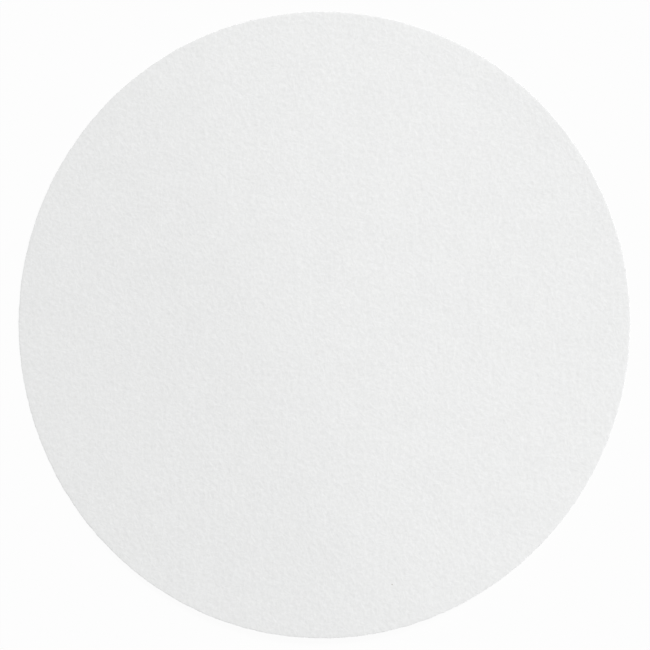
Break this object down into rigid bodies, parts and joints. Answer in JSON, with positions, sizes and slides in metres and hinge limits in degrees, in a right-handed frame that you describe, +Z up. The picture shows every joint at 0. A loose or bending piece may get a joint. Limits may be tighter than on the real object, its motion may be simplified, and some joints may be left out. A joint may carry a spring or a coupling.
{
  "type": "filter paper disc",
  "caption": "Flat round disc of plain white uncreped filter paper with a die-cut rim, laid in a funnel to strain solids out of a liquid.",
  "frame": {"origin": "centre of the flat underside, the face that the disc lies on", "axes": "+Z up through the sheet, out of the felt side; X and Y lie in the sheet, and the disc is the same all round"},
  "size_m": [0.11, 0.11, 0.0002],
  "materials": {
    "filter_paper": "matt, uncoated and fibrous, with a fine felt tooth"
  },
  "bodies": {
    "root": {"filter_disc": "filter_paper"}
  },
  "joints": []
}
